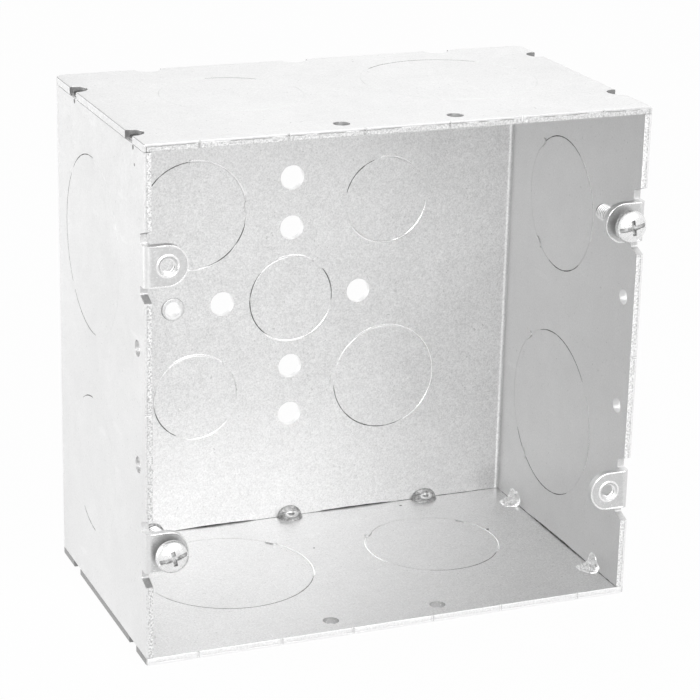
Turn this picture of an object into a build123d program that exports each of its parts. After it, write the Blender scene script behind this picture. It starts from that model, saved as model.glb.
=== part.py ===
from build123d import *
import os

# Square steel electrical box, 5 inches square and 2-7/8 inches deep, open at the front, in millimetres.
# X is to the right, Y points to the back, Z is up. The origin is the middle of the back's outer face.
# One folded sheet makes the back, the left wall, the right wall and the four ears. Two flat plates
# close the top and the bottom. Fourteen tack welds hold the plates, and two cover screws sit in the ears.

# Driving dimensions of the box
WIDTH = 127.0
DEPTH = 73.0
SHEET = 1.8
BEND_INSIDE = 1.0
EDGE_ROUND = 0.4
SEAM = 0.1

HALF = WIDTH / 2
WALL_INSIDE = HALF - SHEET
WRAP_HALF_HEIGHT = WALL_INSIDE - SEAM
RIM = -DEPTH
BEND_OUTSIDE = BEND_INSIDE + SHEET

# Seams stand open a little where the sheet bows between two welds
BOW_GAP = 0.4
SIDE_BOW_FROM = -56.2
SIDE_BOW_TO = -22.1
BACK_BOWS = ((-32.0, -10.0), (7.6, 29.7))

# Ears for the cover screws
EAR_SPACING_ACROSS = 115.8
EAR_SPACING_UP = 69.9
EAR_WIDTH = 9.9
EAR_FOLD = 1.3
EAR_HOLE_RADIUS = 1.75
EAR_LIP_RADIUS = 2.3
EAR_LIP_DEPTH = 0.35
RELIEF_TALL = 3.45
RELIEF_DEEP = 3.2
RELIEF_SLANT = 1.2
RELIEF_ROUND = 0.6

# Holes in the back, as a group that sits slightly off the middle
GROUP_RIGHT = -0.9
GROUP_UP = 0.4
FIXING_RADIUS = 3.25
FIXING_INNER = 19.05
FIXING_OUTER = 32.5
GROUND_RIGHT = -32.6
GROUND_RADIUS = 2.05
GROUND_COLLAR_RADIUS = 3.1
GROUND_COLLAR_HEIGHT = 0.5
GROUND_COLLAR_ROUND = 0.35

# Small holes behind the rim, two on each side
SMALL_HOLE_RADIUS = 2.0
SMALL_HOLE_SPACING = 28.6
SMALL_HOLE_FROM_RIM = 5.5

# Knockouts: discs that stay in the sheet by their ties
KNOCKOUT_SLIT = 0.3
HALF_INCH = 22.9 / 2
THREE_QUARTER = 28.6 / 2
ONE_INCH = 34.9 / 2
INCH_AND_QUARTER = 44.0 / 2
TIE_WIDTH = 2.2
TAB_LENGTH = 3.4
TAB_WIDTH = 1.5
TAB_HEIGHT = 0.3
TAB_SET_BACK = 0.3

KNOCKOUTS_UP = 0.15
SMALL_ACROSS = 26.4
LARGE_ACROSS = 26.9
BACK_UP = 24.7
SIDE_APART = 28.6
SIDE_FROM_BACK = -31.8
LEFT_RAISED = 0.8

# Tack welds: a half-round notch in the plate, filled by a lump that shows inside as a hollow fillet
SIDE_NOTCH_RADIUS = 2.9
SIDE_NOTCH_IN = 0.7
BACK_NOTCH_RADIUS = 3.4
WELD_LENGTH = 6.6
WELD_RADIUS = 2.3
SCOOP_RADIUS = 3.2
SCOOP_OUT = 1.9
SCOOP_UP = 1.7
HOLLOW_RADIUS = 2.6
HOLLOW_FROM_CORNER = 2.9
WELD_BELOW_SURFACE = 1.2
SIDE_WELDS = {
    "top_left": (-16.7, -61.7),
    "top_right": (-12.0, -57.0),
    "bottom_left": (-14.6, -62.3),
    "bottom_right": (-13.3, -60.3),
}
BACK_WELDS = {"left": -39.5, "middle": -0.5, "right": 39.0}

# Nicks that the shears left across the rim
NICK_PLACES = (10.6, 29.2, 50.5)
NICK_WIDTH = 0.8
NICK_DEEP = 0.4
NICK_START = 0.1

# Cover screws with a slot and a cross in a domed head. The shank fills the drilled hole of its ear
SCREW_LENGTH = 14.5
SCREW_RADIUS = EAR_HOLE_RADIUS
SCREW_POINT = 0.7
HEAD_RADIUS = 4.0
HEAD_RIM = 0.9
HEAD_HEIGHT = 2.6
HEAD_EDGE_ROUND = 0.3
SLOT_WIDTH = 1.15
SLOT_DEEP = 1.1
CROSS_LENGTH = 3.9
CROSS_WIDTH = 1.0
CROSS_DEEP = 1.5
LOWER_SCREW_OUT = 2.0
UPPER_SCREW_OUT = 2.4
LOWER_SCREW_TURN = -12.0
UPPER_SCREW_TURN = -10.0


def block(low, high):
    """A box between two opposite corners."""
    size = [b - a for a, b in zip(low, high)]
    middle = [(a + b) / 2 for a, b in zip(low, high)]
    return Pos(*middle) * Box(*size)


def round_bar(radius, start, end):
    """A straight round bar from one point to another."""
    way = Vector(*end) - Vector(*start)
    plane = Plane(origin=start, z_dir=way.normalized())
    return plane.location * Cylinder(radius, way.length, align=(Align.CENTER, Align.CENTER, Align.MIN))


# Each face of the box has a plane on the inner side of its sheet, with the plane's own Z into the box.
# The back's plane starts at its middle, and those of the other four at the back's outer face.
FACES = {
    "back": Plane(origin=(0, -SHEET, 0), x_dir=(1, 0, 0), z_dir=(0, -1, 0)),
    "left": Plane(origin=(-WALL_INSIDE, 0, 0), x_dir=(0, 1, 0), z_dir=(1, 0, 0)),
    "right": Plane(origin=(WALL_INSIDE, 0, 0), x_dir=(0, -1, 0), z_dir=(-1, 0, 0)),
    "bottom": Plane(origin=(0, 0, -WALL_INSIDE), x_dir=(1, 0, 0), z_dir=(0, 0, 1)),
    "top": Plane(origin=(0, 0, WALL_INSIDE), x_dir=(1, 0, 0), z_dir=(0, 0, -1)),
}

# Knockouts as (face, place along the plane's X, place along its Y, radius, angles of the ties)
KNOCKOUTS = [
    ("back", GROUP_RIGHT - LARGE_ACROSS, KNOCKOUTS_UP + BACK_UP, THREE_QUARTER, (4,)),
    ("back", GROUP_RIGHT + SMALL_ACROSS, KNOCKOUTS_UP + BACK_UP, HALF_INCH, (174,)),
    ("back", GROUP_RIGHT, KNOCKOUTS_UP, HALF_INCH, (50,)),
    ("back", GROUP_RIGHT - SMALL_ACROSS, KNOCKOUTS_UP - BACK_UP, HALF_INCH, (40,)),
    ("back", GROUP_RIGHT + LARGE_ACROSS, KNOCKOUTS_UP - BACK_UP, THREE_QUARTER, (177,)),
    ("left", SIDE_FROM_BACK, SIDE_APART, INCH_AND_QUARTER, (42, -42)),
    ("left", SIDE_FROM_BACK, -SIDE_APART + LEFT_RAISED, ONE_INCH, (42, -42)),
    ("right", -SIDE_FROM_BACK, SIDE_APART, ONE_INCH, (131, -131)),
    ("right", -SIDE_FROM_BACK, -SIDE_APART, INCH_AND_QUARTER, (131, -131)),
    ("bottom", -SIDE_APART, SIDE_FROM_BACK, INCH_AND_QUARTER, (140, 40)),
    ("bottom", SIDE_APART, SIDE_FROM_BACK, ONE_INCH, (140, 40)),
    ("top", -SIDE_APART, -SIDE_FROM_BACK, ONE_INCH, (-140, -40)),
    ("top", SIDE_APART, -SIDE_FROM_BACK, INCH_AND_QUARTER, (-140, -40)),
]


def knockout_slit(radius, ties):
    """The thin ring that is sheared round a knockout, broken where the ties hold the disc."""
    outer = Cylinder(radius + KNOCKOUT_SLIT / 2, 4 * SHEET)
    ring = outer - Cylinder(radius - KNOCKOUT_SLIT / 2, 5 * SHEET)
    for angle in ties:
        ring -= Rot(0, 0, angle) * Pos(radius, 0, 0) * Box(4 * KNOCKOUT_SLIT, TIE_WIDTH, 5 * SHEET)
    return ring


def tie_tab(radius, angle):
    """The small raised pad that marks a tie on the inside of the box."""
    pad = extrude(SlotOverall(TAB_LENGTH, TAB_WIDTH), TAB_HEIGHT + SHEET / 2)
    upright = Rot(0, 0, 90) * Pos(0, 0, -SHEET / 2) * pad
    return Rot(0, 0, angle) * Pos(radius + TAB_SET_BACK, 0, 0) * upright


def add_knockouts(sheet, faces):
    """Cuts the slits of the named faces' knockouts and raises their tabs."""
    for face, across, up, radius, ties in KNOCKOUTS:
        if face not in faces:
            continue
        place = FACES[face].location * Pos(across, up, 0)
        sheet -= place * knockout_slit(radius, ties)
        for angle in ties:
            sheet += place * tie_tab(radius, angle)
    return sheet


def nick(across_low, across_high, at, upright):
    """A shallow V across the rim, on a wall when upright is true and on a plate otherwise."""
    outline = Polyline(
        (-NICK_WIDTH / 2, RIM - NICK_START),
        (NICK_WIDTH / 2, RIM - NICK_START),
        (0, RIM + NICK_DEEP),
        close=True,
    )
    wedge = extrude(make_face(outline), across_high - across_low)
    if upright:
        return Pos(across_low, 0, at) * Rot(0, 90, 0) * wedge
    return Pos(at, 0, across_low) * wedge


def ear(side, up):
    """One ear, folded in from a wall's front edge, with its full-round end on the hole's centre."""
    hole = EAR_SPACING_ACROSS / 2
    length = HALF - hole
    outline = Pos(length / 2, 0) * Rectangle(length, EAR_WIDTH) + Circle(EAR_WIDTH / 2)
    plate = extrude(outline, SHEET)
    folded_edge = plate.edges().filter_by(Axis.Y).sort_by(Axis.X)[-2:].sort_by(Axis.Z)[0]
    plate = fillet(folded_edge, EAR_FOLD)
    turn = Plane(origin=(side * hole, RIM, up), x_dir=(side, 0, 0), z_dir=(0, 1, 0))
    return turn.location * plate


def ear_hole(side, up):
    """The tapped hole of an ear at its drilled size, with the rounded lip that the tap leaves in front."""
    hole = EAR_SPACING_ACROSS / 2
    drill = round_bar(EAR_HOLE_RADIUS, (side * hole, RIM - SHEET, up), (side * hole, RIM + 2 * SHEET, up))
    lip = Cone(EAR_HOLE_RADIUS, EAR_LIP_RADIUS, EAR_LIP_DEPTH, align=(Align.CENTER, Align.CENTER, Align.MAX))
    face = Plane(origin=(side * hole, RIM, up), z_dir=(0, -1, 0))
    return drill + face.location * lip


def ear_relief(side, up, way):
    """The notch in a wall's front edge beside an ear, with a slanted far end. way is 1 above, -1 below."""
    start = up + way * EAR_WIDTH / 2
    slope = RELIEF_SLANT / RELIEF_DEEP
    corner = (RIM + RELIEF_DEEP, start + way * (RELIEF_TALL - RELIEF_SLANT))
    outline = Polyline(
        (RIM - SHEET, start),
        (RIM - SHEET, start + way * (RELIEF_TALL + SHEET * slope)),
        corner,
        (RIM + RELIEF_DEEP, start),
        close=True,
    )
    face = make_face(outline)
    sharp = face.vertices().sort_by_distance((*corner, 0))[0]
    face = fillet(sharp, RELIEF_ROUND)
    cutter = extrude(face, 2 * SHEET, both=True)
    wall = Plane(origin=(side * (HALF - SHEET / 2), 0, 0), x_dir=(0, 1, 0), z_dir=(1, 0, 0))
    return wall.location * cutter


def small_holes(face):
    """The two small holes of one side, a short way behind the rim."""
    sign = 1 if face in ("right", "top") else -1
    back = RIM + SMALL_HOLE_FROM_RIM
    inside = sign * (HALF - 2 * SHEET)
    outside = sign * (HALF + SHEET)
    holes = []
    for along in (-SMALL_HOLE_SPACING / 2, SMALL_HOLE_SPACING / 2):
        if face in ("left", "right"):
            start = (inside, back, along)
            end = (outside, back, along)
        else:
            start = (along, back, inside)
            end = (along, back, outside)
        holes.append(round_bar(SMALL_HOLE_RADIUS, start, end))
    return holes


def back_holes():
    """The six fixing holes and the drilled ground hole."""
    places = [(0, -FIXING_OUTER), (0, -FIXING_INNER), (0, FIXING_INNER), (0, FIXING_OUTER)]
    places += [(-FIXING_INNER, 0), (FIXING_INNER, 0)]
    drills = [(FIXING_RADIUS, across, up) for across, up in places]
    drills.append((GROUND_RADIUS, GROUND_RIGHT, 0))
    holes = []
    for radius, across, up in drills:
        right = GROUP_RIGHT + across
        height = GROUP_UP + up
        holes.append(round_bar(radius, (right, -3 * SHEET, height), (right, SHEET, height)))
    return holes


def ground_collar():
    """The low collar round the ground hole, where the punch drew the metal inwards."""
    ring = Cylinder(GROUND_COLLAR_RADIUS, GROUND_COLLAR_HEIGHT, align=(Align.CENTER, Align.CENTER, Align.MIN))
    ring = fillet(ring.edges().sort_by(Axis.Z)[-1], GROUND_COLLAR_ROUND)
    return FACES["back"].location * Pos(GROUP_RIGHT + GROUND_RIGHT, GROUP_UP, 0) * ring


def wrap_body():
    """The folded sheet: back, left wall, right wall and ears."""
    outer = Rectangle(WIDTH, 2 * DEPTH)
    outer = fillet(outer.vertices(), BEND_OUTSIDE)
    inner = fillet(Rectangle(WIDTH - 2 * SHEET, 2 * DEPTH - 2 * SHEET).vertices(), BEND_INSIDE)
    section = Pos(0, -DEPTH) * (outer - inner)
    section &= Pos(0, RIM / 2) * Rectangle(2 * WIDTH, DEPTH)
    sheet = extrude(section, WRAP_HALF_HEIGHT, both=True)
    for side in (-1, 1):
        for up in (EAR_SPACING_UP / 2, -EAR_SPACING_UP / 2):
            sheet -= ear_relief(side, up, 1)
            sheet -= ear_relief(side, up, -1)
            sheet -= block(
                (min(side * HALF, side * WALL_INSIDE) - EDGE_ROUND, RIM - SHEET, up - EAR_WIDTH / 2),
                (max(side * HALF, side * WALL_INSIDE) + EDGE_ROUND, RIM + SHEET, up + EAR_WIDTH / 2),
            )
            sheet += ear(side, up)
            sheet -= ear_hole(side, up)
        sheet -= nick(side * HALF - SHEET * 2, side * HALF + SHEET * 2, 0, True)
    sheet = add_knockouts(sheet, ("back", "left", "right"))
    sheet += ground_collar()
    for hole in back_holes() + small_holes("left") + small_holes("right"):
        sheet -= hole
    for way in (-1, 1):
        low = min(way * (WRAP_HALF_HEIGHT - BOW_GAP), way * HALF)
        high = max(way * (WRAP_HALF_HEIGHT - BOW_GAP), way * HALF)
        sheet -= block((WALL_INSIDE - SHEET, SIDE_BOW_FROM, low), (HALF + SHEET, SIDE_BOW_TO, high))
        for left, right in BACK_BOWS:
            sheet -= block((left, -2 * SHEET, low), (right, SHEET, high))
    return sheet


def end_plate(way):
    """The top plate (way 1) or the bottom plate (way -1), with its weld notches and knockouts."""
    outline = Pos(0, -DEPTH / 2) * Rectangle(WIDTH, DEPTH)
    back_corners = outline.vertices().sort_by(Axis.Y)[-2:]
    plate = extrude(fillet(back_corners, BEND_OUTSIDE), SHEET)
    plate = fillet(plate.faces().sort_by(Axis.Z)[-1].edges(), EDGE_ROUND)
    if way > 0:
        plate = Pos(0, 0, WALL_INSIDE) * plate
    else:
        plate = Pos(0, 0, -WALL_INSIDE) * mirror(plate, Plane.XY)
    name = "top" if way > 0 else "bottom"
    inside = way * (WALL_INSIDE - SHEET)
    outside = way * (HALF + SHEET)
    for side, word in ((-1, "left"), (1, "right")):
        middle = side * (HALF - SIDE_NOTCH_IN)
        for along in SIDE_WELDS[name + "_" + word]:
            plate -= round_bar(SIDE_NOTCH_RADIUS, (middle, along, inside), (middle, along, outside))
    for across in BACK_WELDS.values():
        plate -= round_bar(BACK_NOTCH_RADIUS, (across, 0, inside), (across, 0, outside))
    for place in NICK_PLACES:
        for side in (-1, 1):
            low = min(way * WALL_INSIDE, way * HALF) - EDGE_ROUND
            plate -= nick(low, low + SHEET + 2 * EDGE_ROUND, side * place, False)
    plate = add_knockouts(plate, (name,))
    for hole in small_holes(name):
        plate -= hole
    return plate


def weld_lump(half_length, radius):
    """A lump that is thickest in its middle and runs out to a point at both ends, along local X."""
    arc = ThreePointArc((-half_length, 0), (0, radius), (half_length, 0))
    return revolve(make_face(arc + Line((half_length, 0), (-half_length, 0))), Axis.X)


def weld_room():
    """The space that no weld leaves, a little inside the box's outer faces."""
    limit = HALF - WELD_BELOW_SURFACE
    return block((-limit, RIM, -limit), (limit, -WELD_BELOW_SURFACE, limit))


def side_weld(name, along, body, plates):
    """A tack weld in the seam between a wall and a plate."""
    way = 1 if name.startswith("top") else -1
    side = 1 if name.endswith("right") else -1
    corner = Pos(side * WALL_INSIDE, along, way * WALL_INSIDE)
    lump = corner * Rot(0, 0, 90) * weld_lump(WELD_LENGTH / 2, WELD_RADIUS) & weld_room()
    scoop_x = side * (HALF + SCOOP_OUT)
    scoop_z = way * (HALF + SCOOP_UP)
    start = (scoop_x, along - WELD_LENGTH, scoop_z)
    end = (scoop_x, along + WELD_LENGTH, scoop_z)
    lump -= round_bar(SCOOP_RADIUS, start, end)
    inner = WALL_INSIDE - HOLLOW_FROM_CORNER
    start = (side * inner, along - WELD_LENGTH, way * inner)
    end = (side * inner, along + WELD_LENGTH, way * inner)
    return lump - round_bar(HOLLOW_RADIUS, start, end) - body - plates[way]


def back_weld(across, way, body, plates):
    """A tack weld in the seam between the back and a plate."""
    corner = Pos(across, -SHEET, way * WALL_INSIDE)
    lump = corner * weld_lump(WELD_LENGTH / 2, WELD_RADIUS) & weld_room()
    scoop_z = way * (HALF + SCOOP_UP)
    start = (across - WELD_LENGTH, SCOOP_OUT, scoop_z)
    end = (across + WELD_LENGTH, SCOOP_OUT, scoop_z)
    lump -= round_bar(SCOOP_RADIUS, start, end)
    inner_y = -SHEET - HOLLOW_FROM_CORNER
    inner_z = way * (WALL_INSIDE - HOLLOW_FROM_CORNER)
    start = (across - WELD_LENGTH, inner_y, inner_z)
    end = (across + WELD_LENGTH, inner_y, inner_z)
    return lump - round_bar(HOLLOW_RADIUS, start, end) - body - plates[way]


def cover_screw(side, up, out, turn):
    """A cover screw: domed head with a slot and a cross, on a plain shank."""
    profile = Polyline((0, HEAD_HEIGHT), (0, 0), (HEAD_RADIUS, 0), (HEAD_RADIUS, HEAD_RIM))
    dome = EllipticalCenterArc((0, HEAD_RIM), HEAD_RADIUS, HEAD_HEIGHT - HEAD_RIM, start_angle=0, arc_size=90)
    head = revolve(make_face(profile + dome), Axis.Y)
    head = fillet(head.edges().sort_by(Axis.Y)[0], HEAD_EDGE_ROUND)
    slot = Pos(0, HEAD_HEIGHT, 0) * Box(3 * HEAD_RADIUS, 2 * SLOT_DEEP, SLOT_WIDTH)
    arm = Pos(0, HEAD_HEIGHT, 0) * Box(CROSS_LENGTH, 2 * CROSS_DEEP, CROSS_WIDTH)
    cross = arm + Rot(0, 90, 0) * arm
    shank = Cylinder(SCREW_RADIUS, SCREW_LENGTH, align=(Align.CENTER, Align.CENTER, Align.MAX))
    shank = chamfer(shank.edges().sort_by(Axis.Z)[0], SCREW_POINT)
    whole = head - slot - cross + Rot(-90, 0, 0) * shank
    place = Plane(origin=(side * EAR_SPACING_ACROSS / 2, RIM - out, up), x_dir=(1, 0, 0), z_dir=(0, 0, 1))
    return place.location * Rot(0, turn, 0) * Rot(180, 0, 0) * whole


def main():
    os.makedirs("parts", exist_ok=True)
    body = wrap_body()
    plates = {1: end_plate(1), -1: end_plate(-1)}
    pieces = {"wrap_body": body, "top_plate": plates[1], "bottom_plate": plates[-1]}
    for name, places in SIDE_WELDS.items():
        for word, along in zip(("rear", "front"), places):
            pieces["weld_" + name + "_" + word] = side_weld(name, along, body, plates)
    for word, across in BACK_WELDS.items():
        for name, way in (("top", 1), ("bottom", -1)):
            pieces["weld_" + name + "_back_" + word] = back_weld(across, way, body, plates)
    up = EAR_SPACING_UP / 2
    pieces["cover_screw_lower_left"] = cover_screw(-1, -up, LOWER_SCREW_OUT, LOWER_SCREW_TURN)
    pieces["cover_screw_upper_right"] = cover_screw(1, up, UPPER_SCREW_OUT, UPPER_SCREW_TURN)
    for name, piece in pieces.items():
        export_step(piece, os.path.join("parts", name + ".step"))
        print(name, "solids", len(piece.solids()), "volume", round(piece.volume, 2))


main()
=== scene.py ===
# %% [markdown]
# # A square electrical box of bright galvanised sheet
# The box stands open towards us: one folded sheet with four ears, two end plates, fourteen tack
# welds and two cover screws. The solids come ready-made and fixed in place, so what is left for
# this file is what a solid can't show: the skin of the zinc, the torn grain of the cut edges, the
# ripples of the weld metal, the threads, the light and the camera.

# %% Load the frame
import math
import bmesh
import bpy
import numpy as np
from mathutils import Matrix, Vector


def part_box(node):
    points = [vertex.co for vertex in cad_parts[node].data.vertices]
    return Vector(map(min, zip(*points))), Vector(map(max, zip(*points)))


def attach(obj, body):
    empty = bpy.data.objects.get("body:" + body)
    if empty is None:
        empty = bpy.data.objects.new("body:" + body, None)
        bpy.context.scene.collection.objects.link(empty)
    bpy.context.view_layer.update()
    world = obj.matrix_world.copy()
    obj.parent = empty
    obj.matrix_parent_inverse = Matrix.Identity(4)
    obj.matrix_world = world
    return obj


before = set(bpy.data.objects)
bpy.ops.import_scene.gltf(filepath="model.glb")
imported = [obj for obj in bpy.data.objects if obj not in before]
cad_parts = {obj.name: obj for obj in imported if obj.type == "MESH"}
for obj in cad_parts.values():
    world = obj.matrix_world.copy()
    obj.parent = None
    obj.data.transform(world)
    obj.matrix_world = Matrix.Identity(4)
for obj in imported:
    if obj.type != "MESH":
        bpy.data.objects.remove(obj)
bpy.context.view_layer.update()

print("nodes in the frame:", len(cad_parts))

# %% [markdown]
# All lengths below are millimetres, as on a drawing, and MM turns them into metres. Half the box's
# width and the place of its rim are read from the frame. The thickness of the sheet and the places
# of the ears are the sizes that the solids were made with.

# %% Sizes
MM = 0.001
METRE = 1000.0


def corners_of(node):
    """The two opposite corners of a node's box, in mm."""
    low, high = (np.array(corner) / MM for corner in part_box(node))
    return low, high


def middle_of(node):
    """The middle of a node's box, in mm."""
    low, high = corners_of(node)
    return (low + high) / 2


wrap_low, wrap_high = corners_of("wrap_body")
HALF = wrap_high[0]
RIM = wrap_low[1]
SHEET = 1.8
INSIDE = HALF - SHEET
EAR_UP = 69.9 / 2
EAR_ACROSS = 115.8 / 2
EAR_HALF = 9.9 / 2
SEED = 7
print("half width", round(HALF, 2), "rim at", round(RIM, 2))

# %% [markdown]
# ## Shader maths as plain sums
# A material is a small calculation on the place of a point. Written as nodes it is hard to read, so
# a socket is wrapped in a class whose operators add the Math nodes. `1 - mask` then works as it
# reads, and numbers that don't change over the surface are still worked out in Python.

# %% A wrapped socket
class Value:
    """A number that varies over a surface. Sums with it add Math nodes."""

    def __init__(self, board, socket):
        self.board = board
        self.socket = socket

    def sum(self, operation, *others, clamp=False):
        values = [self, *others]
        settings = {"operation": operation, "use_clamp": clamp}
        return self.board.node("ShaderNodeMath", settings, dict(enumerate(values)))["Value"]

    def __add__(self, other):
        return self.sum("ADD", other)

    def __sub__(self, other):
        return self.sum("SUBTRACT", other)

    def __rsub__(self, other):
        return self.board.number(other).sum("SUBTRACT", self)

    def __mul__(self, other):
        return self.sum("MULTIPLY", other)

    def __truediv__(self, other):
        return self.sum("DIVIDE", other)

    def __pow__(self, other):
        return self.sum("POWER", other)

    def __neg__(self):
        return self.sum("MULTIPLY", -1.0)

    def __abs__(self):
        return self.sum("ABSOLUTE")

    __radd__ = __add__
    __rmul__ = __mul__

    def step(self, low, high):
        """0 below low, 1 above high, and a smooth rise between them."""
        settings = {"interpolation_type": "SMOOTHSTEP"}
        inputs = {"Value": self, "From Min": low, "From Max": high}
        return self.board.node("ShaderNodeMapRange", settings, inputs)["Result"]

    def clamp(self):
        """The same number, held between 0 and 1."""
        return self.sum("ADD", 0.0, clamp=True)


print("a socket takes part in sums")

# %% [markdown]
# Every other kind of node comes from one method, which takes the node's type, its settings and what
# goes into its sockets. The methods after it are short names for the nodes that the finishes use.

# %% A board of nodes
class Board:
    """The node tree of one material, or of the world around the object."""

    def __init__(self, name, world=False):
        kinds = bpy.data.worlds if world else bpy.data.materials
        self.owner = kinds.new(name)
        self.owner.use_nodes = True
        self.tree = self.owner.node_tree
        self.tree.nodes.clear()

    def node(self, kind, settings=None, inputs=None):
        """Adds a node, makes its settings, fills its sockets, and gives its outputs by name."""
        made = self.tree.nodes.new(kind)
        for name, value in (settings or {}).items():
            setattr(made, name, value)
        for key, value in (inputs or {}).items():
            socket = made.inputs[key]
            if isinstance(value, Value):
                self.tree.links.new(value.socket, socket)
            else:
                socket.default_value = value
        return {out.name: Value(self, out) for out in made.outputs if out.enabled}

    def number(self, value):
        """A plain number as a socket, for sums that start with it."""
        return self.node("ShaderNodeMath", {"operation": "ADD"}, {0: value, 1: 0.0})["Value"]

    def place(self):
        """The point's place on the object, as a vector in metres."""
        return self.node("ShaderNodeTexCoord")["Object"]

    def parts(self, place):
        """The three numbers of a place, in mm."""
        split = self.node("ShaderNodeSeparateXYZ", None, {"Vector": place})
        return split["X"] * METRE, split["Y"] * METRE, split["Z"] * METRE

    def distance(self, place, point):
        """How far a place is from a fixed point, in mm."""
        ends = {0: place, 1: tuple(value * MM for value in point)}
        return self.node("ShaderNodeVectorMath", {"operation": "DISTANCE"}, ends)["Value"] * METRE

    def stretched(self, vector, scale):
        """The place times a scale for each direction: noise on it is long where the scale is small."""
        return self.node("ShaderNodeMapping", None, {"Vector": vector, "Scale": scale})["Vector"]

    def noise(self, vector, size_mm, detail=2.0, rough=0.5):
        """Cloudy noise from 0 to 1, whose lumps are about size_mm across."""
        inputs = {"Vector": vector, "Scale": METRE / size_mm, "Detail": detail, "Roughness": rough}
        return self.node("ShaderNodeTexNoise", {"noise_dimensions": "3D"}, inputs)["Fac"]

    def cells(self, vector, size_mm):
        """A random number from 0 to 1 for each cell of a mosaic of grains about size_mm across."""
        inputs = {"Vector": vector, "Scale": METRE / size_mm}
        made = self.node("ShaderNodeTexVoronoi", {"feature": "F1"}, inputs)
        return self.node("ShaderNodeSeparateColor", None, {"Color": made["Color"]})["Red"]

    def blend(self, amount, dark, light):
        """A colour between two others. The Mix node's colours are its inputs 6 and 7."""
        inputs = {0: amount, 6: dark, 7: light}
        return self.node("ShaderNodeMix", {"data_type": "RGBA"}, inputs)["Result"]

    def bump(self, height, depth_mm, strength, before=None):
        """Tilts the surface as if it rose by depth_mm where height is 1."""
        inputs = {"Height": height, "Distance": depth_mm * MM, "Strength": strength}
        if before is not None:
            inputs["Normal"] = before
        return self.node("ShaderNodeBump", None, inputs)["Normal"]

    def finish(self, **inputs):
        """Adds the Principled shader, with a name such as base_color for its Base Color socket."""
        named = {key.replace("_", " ").title(): value for key, value in inputs.items()}
        shader = self.node("ShaderNodeBsdfPrincipled", None, named)["BSDF"]
        self.node("ShaderNodeOutputMaterial", None, {"Surface": shader})
        return self.owner


print("nodes go on a board")

# %% [markdown]
# ## The skin of the zinc
# Galvanised sheet is steel under a thin, bright skin of zinc. The zinc sets as flat grains, and each
# grain reflects a little differently, so from close by the sheet looks speckled, and from a step away
# it is an even silver. Rolling leaves faint lines along the strip, and handling leaves clouds of
# duller oxide and a few scratches. All of these are functions of the place on the object.

# %% Zinc
BUSY = 1.9
SOOT = 0.12


def tone(level):
    """A colour without a hue, from 0 for black to 1 for white."""
    return (level, level, level, 1.0)


def pits(board, place, spots):
    """1 on dark dots of the given places and radii in mm, and 0 a little way off them."""
    total = 0.0
    ragged = board.noise(place, 0.8, detail=2.0)
    for x, y, z, radius in spots:
        away = board.distance(place, (x, y, z))
        total = (1.6 * radius - away - (ragged - 0.5) * radius).step(0.0, 0.5 * radius) + total
    return total.clamp()


def zinc(name, level, spots, calm, busy_spot, painted_light_and_tone_spot):
    """Bright zinc. spots are pits in the skin. Its speckle has the strength calm, and BUSY where busy_spot
    gives 1. It is darker, and its speckle coarser, the more its last mask gives: on the plates' cut walls
    and edges that is painted shade, and where the mask is below 0, on the back's hole walls, it is a painted
    highlight."""
    board = Board(name)
    place = board.place()
    x, y, z = board.parts(place)
    busy = calm + busy_spot(x, y, z) * (BUSY - calm)
    painted_light_and_tone = painted_light_and_tone_spot(x, y, z)
    grain = board.cells(place, 0.7)
    speck = board.noise(place, 0.42, detail=2.0, rough=0.7)
    cloud = board.noise(place, 26.0, detail=3.0, rough=0.55)
    smear = board.noise(place, 6.0, detail=4.0, rough=0.6)
    lines = board.noise(board.stretched(place, (0.04, 1.0, 1.0)), 0.5, detail=2.0)
    slant = board.stretched(place, (1.0, 0.06, 0.25))
    scratch = board.noise(slant, 1.1, detail=1.0).step(0.71, 0.75)
    salt = board.noise(place, 0.6, detail=1.0).step(0.68, 0.76)
    pepper = board.noise(place, 0.75, detail=1.0).step(0.27, 0.22)
    fine_part = (grain - 0.5) * 0.12 + (speck - 0.5) * 0.9 + salt * 0.35 - pepper * 0.6
    light = fine_part * (busy + painted_light_and_tone) + (cloud - 0.5) * 0.22 + (smear - 0.5) * 0.22
    light = light + scratch * 0.08 + (lines - 0.5) * 0.15 - painted_light_and_tone * 0.45
    clean = board.blend((light + 0.5).clamp(), tone(level * 0.80), tone(min(level * 1.2, 1.0)))
    # past 1 the last mask makes the colour much darker: painted shade on the plates' edges and the walls of
    # their notches
    painted_shade_color = board.blend((painted_light_and_tone - 1.0).clamp(), clean, tone(level * 0.25))
    color = board.blend(pits(board, place, spots), painted_shade_color, tone(SOOT))
    rough = 0.40 + (cloud - 0.5) * 0.16 + (grain - 0.5) * 0.10 + pepper * 0.15
    fine = board.bump(speck * 0.6 * (busy + painted_light_and_tone) + lines * 0.25 + grain * 0.15, 0.03, 0.6)
    wave = board.bump(smear + board.noise(place, 30.0) * 3.0, 0.05, 0.5, before=fine)
    return board.finish(base_color=color, metallic=0.75, roughness=rough.clamp(), normal=wave)


print("the skin is a function of the place")

# %% [markdown]
# The wrap and the plates share that function and differ in what they pass to it. Masks say where the
# speckle shows best and where the zinc is darker, which on the plates is painted shade, and where the
# back's hole walls get a painted highlight: they are products of smooth steps, each of which is
# 1 on one side of a plane or a circle.

# %% Where the skin differs
def off_axis(x, z, axis):
    """How far a place is from an axis along Y, in mm. The axis is given by any point on it."""
    across = x - float(axis[0])
    up = z - float(axis[2])
    return (across * across + up * up).sum("SQRT")


GROUND_HOLE, GROUND_REACH = (-33.5, 0.0, 0.0), 2.3
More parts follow.
